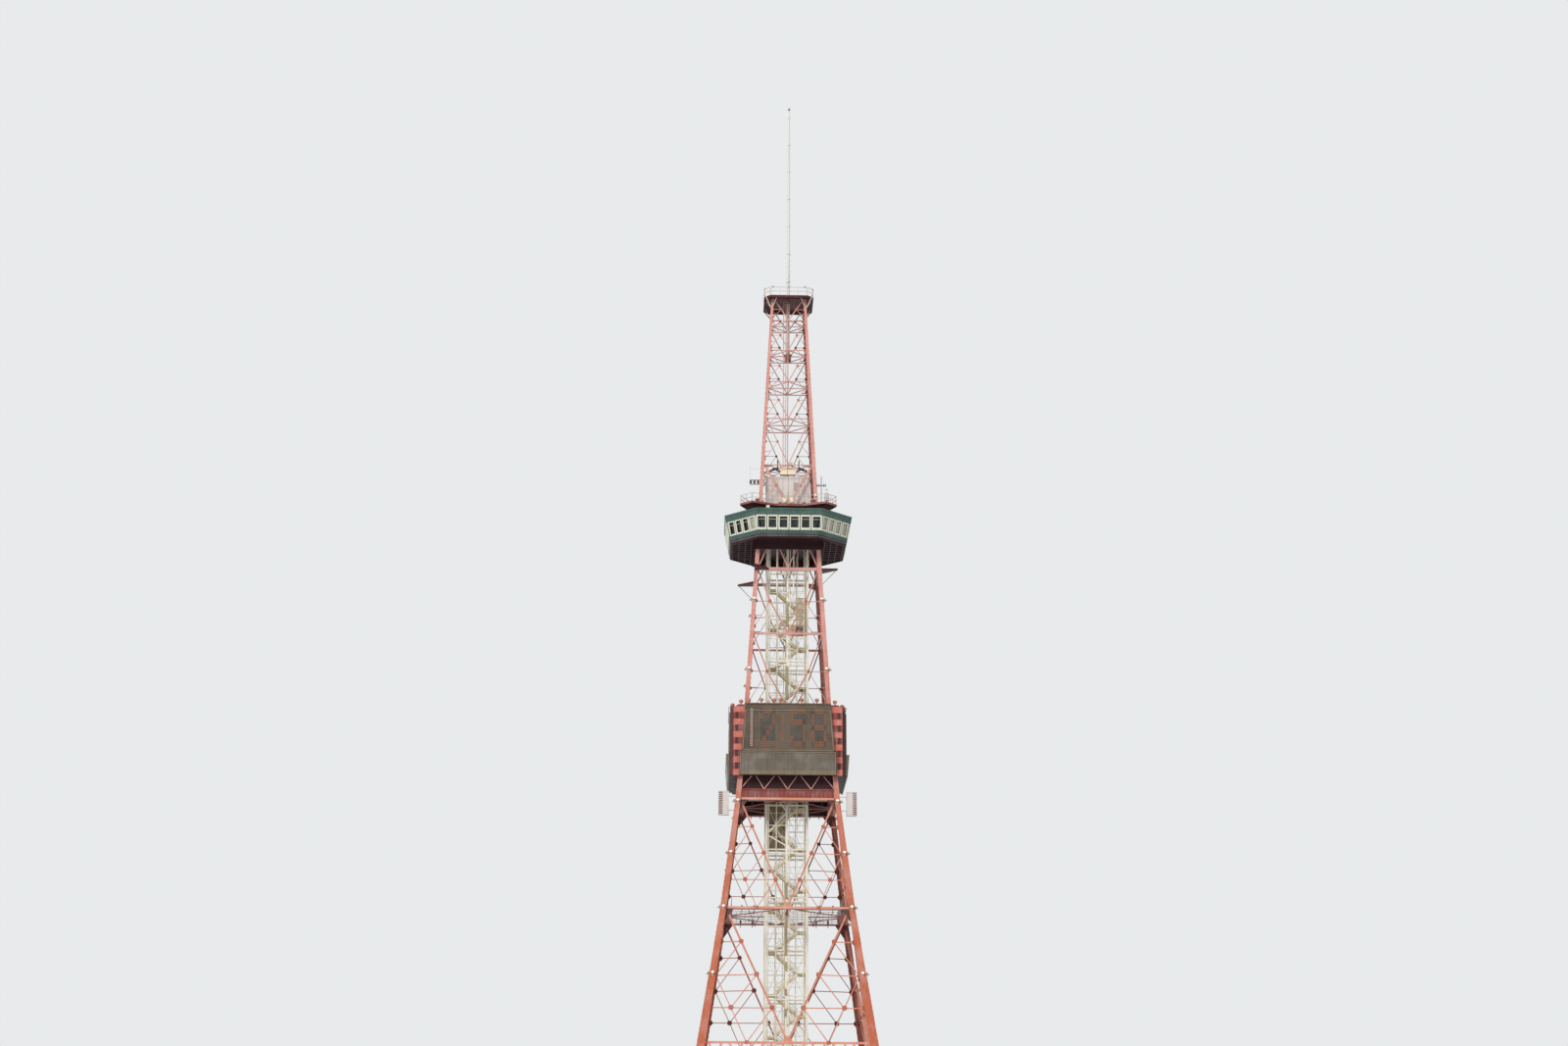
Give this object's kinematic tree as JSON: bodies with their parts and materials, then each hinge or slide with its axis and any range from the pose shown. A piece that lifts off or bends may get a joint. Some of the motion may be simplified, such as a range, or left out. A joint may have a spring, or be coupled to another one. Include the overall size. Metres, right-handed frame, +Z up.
{
  "type": "scale model of a radio mast with an observation deck",
  "caption": "Four-legged lattice mast at 1:10 with a clock storey, an observation deck, a lift and stair core and an antenna pole.",
  "frame": {"origin": "on the ground at the middle of the four legs", "axes": "+Z up the mast, -Y towards the front of the picture, +X to its right"},
  "size_m": [3.12, 3.12, 14.72],
  "materials": {
    "leg_paint": "orange-red enamel, weathered and chalky",
    "lower_lattice_paint": "orange-red enamel, weathered",
    "upper_lattice_paint": "paler red enamel, weathered",
    "gallery_paint": "dark red enamel with rust stains",
    "core_paint": "cream enamel, stained",
    "stair_paint": "cream and olive enamel, worn",
    "shaft_sheet": "olive-brown sheet, weathered",
    "display": "grey-brown lamp display, unlit",
    "sign_board": "dark brown board with an olive strip, bare",
    "soffit_plate": "dark maroon sheet with joints",
    "deck_paint": "dark teal-green panels",
    "corner_post": "dark teal-green posts",
    "glass": "dark window glass",
    "platform_plate": "dark maroon plate with a red edge",
    "railing_paint": "faded grey-pink enamel",
    "machine_room_sheet": "pinkish beige sheet",
    "pole_paint": "off-white enamel",
    "beacon_lens": "dark red lens",
    "aerial_shell": "grey-white radome",
    "concrete": "cast concrete"
  },
  "bodies": {
    "root": {"aerial_racks": "aerial_shell", "antenna_pole": "pole_paint", "base_side_back": "lower_lattice_paint", "base_side_front": "lower_lattice_paint", "base_side_left": "lower_lattice_paint", "base_side_right": "lower_lattice_paint", "beacon": "beacon_lens", "clock_brackets": "gallery_paint", "clock_case_back": "display", "clock_case_front": "display", "clock_case_left": "display", "clock_case_right": "display", "clock_corner_posts": "gallery_paint", "clock_roof": "soffit_plate", "clock_soffit": "soffit_plate", "core_frame": "core_paint", "deck_corner_posts": "corner_post", "deck_floor": "soffit_plate", "deck_glass": "glass", "deck_roof": "soffit_plate", "deck_walls": "deck_paint", "footings": "concrete", "gallery_floor": "platform_plate", "gallery_railing": "railing_paint", "girder_frame": "gallery_paint", "leg_back_left": "leg_paint", "leg_back_right": "leg_paint", "leg_front_left": "leg_paint", "leg_front_right": "leg_paint", "lower_gallery": "gallery_paint", "lower_side_back": "lower_lattice_paint", "lower_side_front": "lower_lattice_paint", "lower_side_left": "lower_lattice_paint", "lower_side_right": "lower_lattice_paint", "machine_room": "machine_room_sheet", "mast_frames": "upper_lattice_paint", "mast_side_back": "upper_lattice_paint", "mast_side_front": "upper_lattice_paint", "mast_side_left": "upper_lattice_paint", "mast_side_right": "upper_lattice_paint", "middle_side_back": "upper_lattice_paint", "middle_side_front": "upper_lattice_paint", "middle_side_left": "upper_lattice_paint", "middle_side_right": "upper_lattice_paint", "shaft_sheeting": "shaft_sheet", "sign_boards": "sign_board", "stair_flights": "stair_paint", "top_platform": "platform_plate", "top_railing": "railing_paint", "upper_gallery": "gallery_paint", "wing_balconies": "gallery_paint"}
  },
  "joints": []
}
